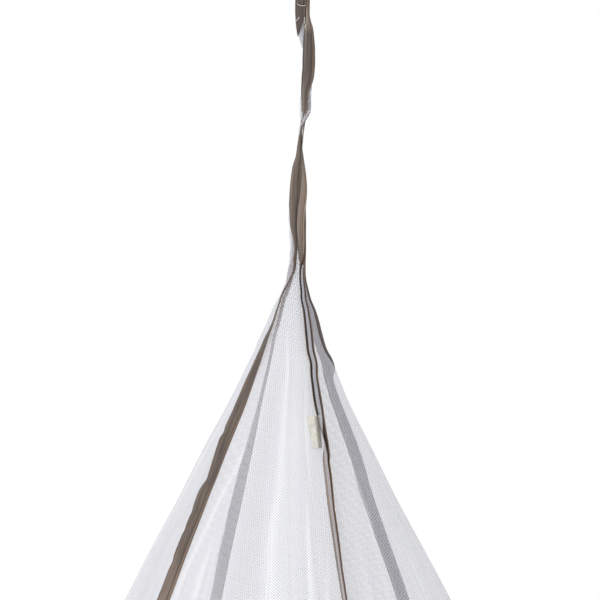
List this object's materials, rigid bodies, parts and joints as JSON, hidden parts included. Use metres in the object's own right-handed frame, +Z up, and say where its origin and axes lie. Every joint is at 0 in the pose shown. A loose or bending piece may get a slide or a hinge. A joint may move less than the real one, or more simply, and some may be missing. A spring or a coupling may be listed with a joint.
{
  "type": "mosquito net canopy",
  "caption": "Cone-shaped hanging mosquito net of fine white netting with taped seams, gathered into a twisted strap under a tape loop.",
  "frame": {"origin": "inside the crown of the hanging loop, where a hook bears", "axes": "+Z up, -Y to the front, where two of the seams and the label show, +X to the right seen from the front"},
  "size_m": [2.0213, 2.0007, 2.3792],
  "materials": {
    "netting": "fine white open mesh, sheer",
    "satin_tape": "taupe satin ribbon with a soft sheen",
    "label_cloth": "cream woven label, bare"
  },
  "bodies": {
    "root": {"net_front": "netting", "net_right": "netting", "net_back": "netting", "net_left": "netting", "binding_left_front": "satin_tape", "binding_centre_front": "satin_tape", "binding_right_back": "satin_tape", "binding_left_back": "satin_tape", "hanging_loop": "satin_tape", "side_label": "label_cloth"}
  },
  "joints": []
}
